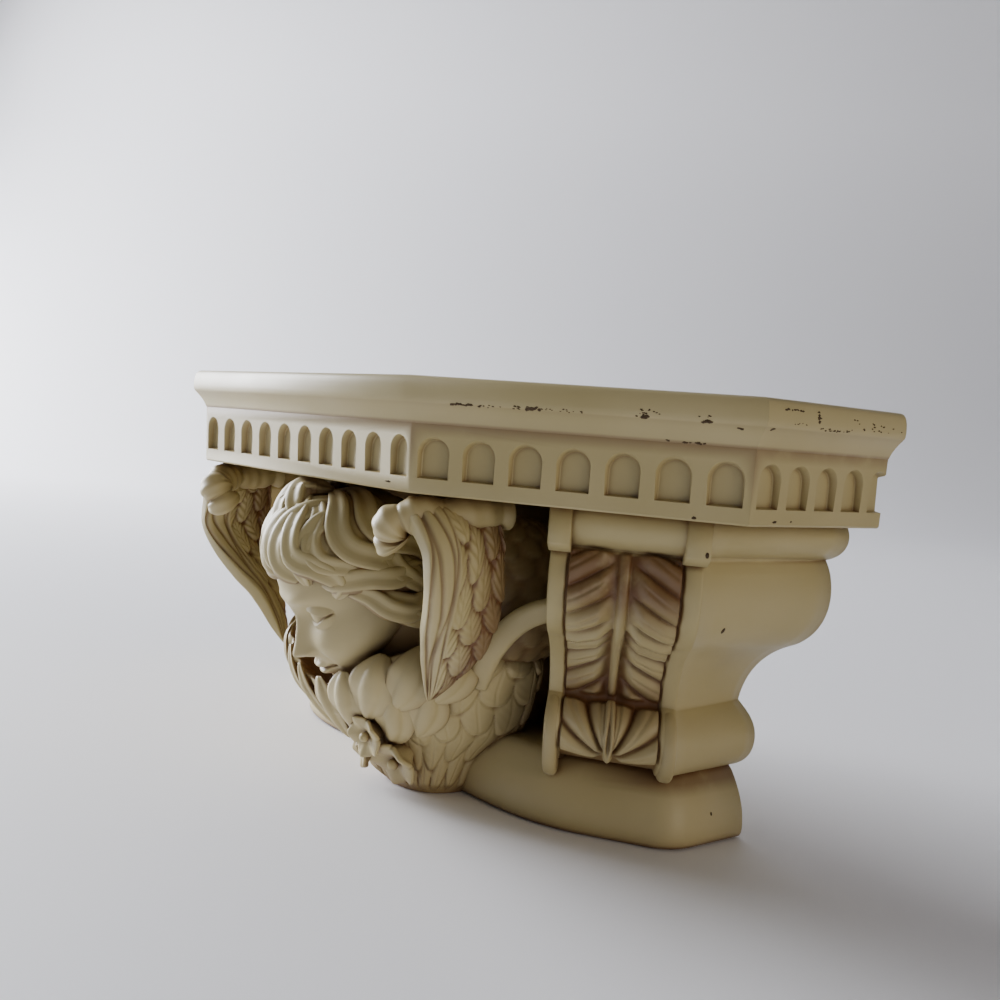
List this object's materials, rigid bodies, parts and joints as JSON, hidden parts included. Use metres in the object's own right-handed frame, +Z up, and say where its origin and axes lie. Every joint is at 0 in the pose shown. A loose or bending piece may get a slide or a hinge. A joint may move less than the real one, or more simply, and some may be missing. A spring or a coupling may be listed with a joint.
{
  "type": "wall corbel shelf",
  "caption": "Small five-sided wall shelf on two acanthus brackets, with a winged cherub's head and feathered breast under its front and a frieze of arched pockets.",
  "frame": {"origin": "middle of the flat back, on the wall plane, half way up", "axes": "+X along the wall to the viewer's right, +Y into the wall, +Z up"},
  "size_m": [0.2892, 0.1109, 0.1274],
  "materials": {
    "angel_corbel": "satin-gloss ivory paint on a plaster casting, with a thin brown wash left in the hollows"
  },
  "bodies": {
    "root": {"angel_corbel": "angel_corbel"}
  },
  "joints": []
}
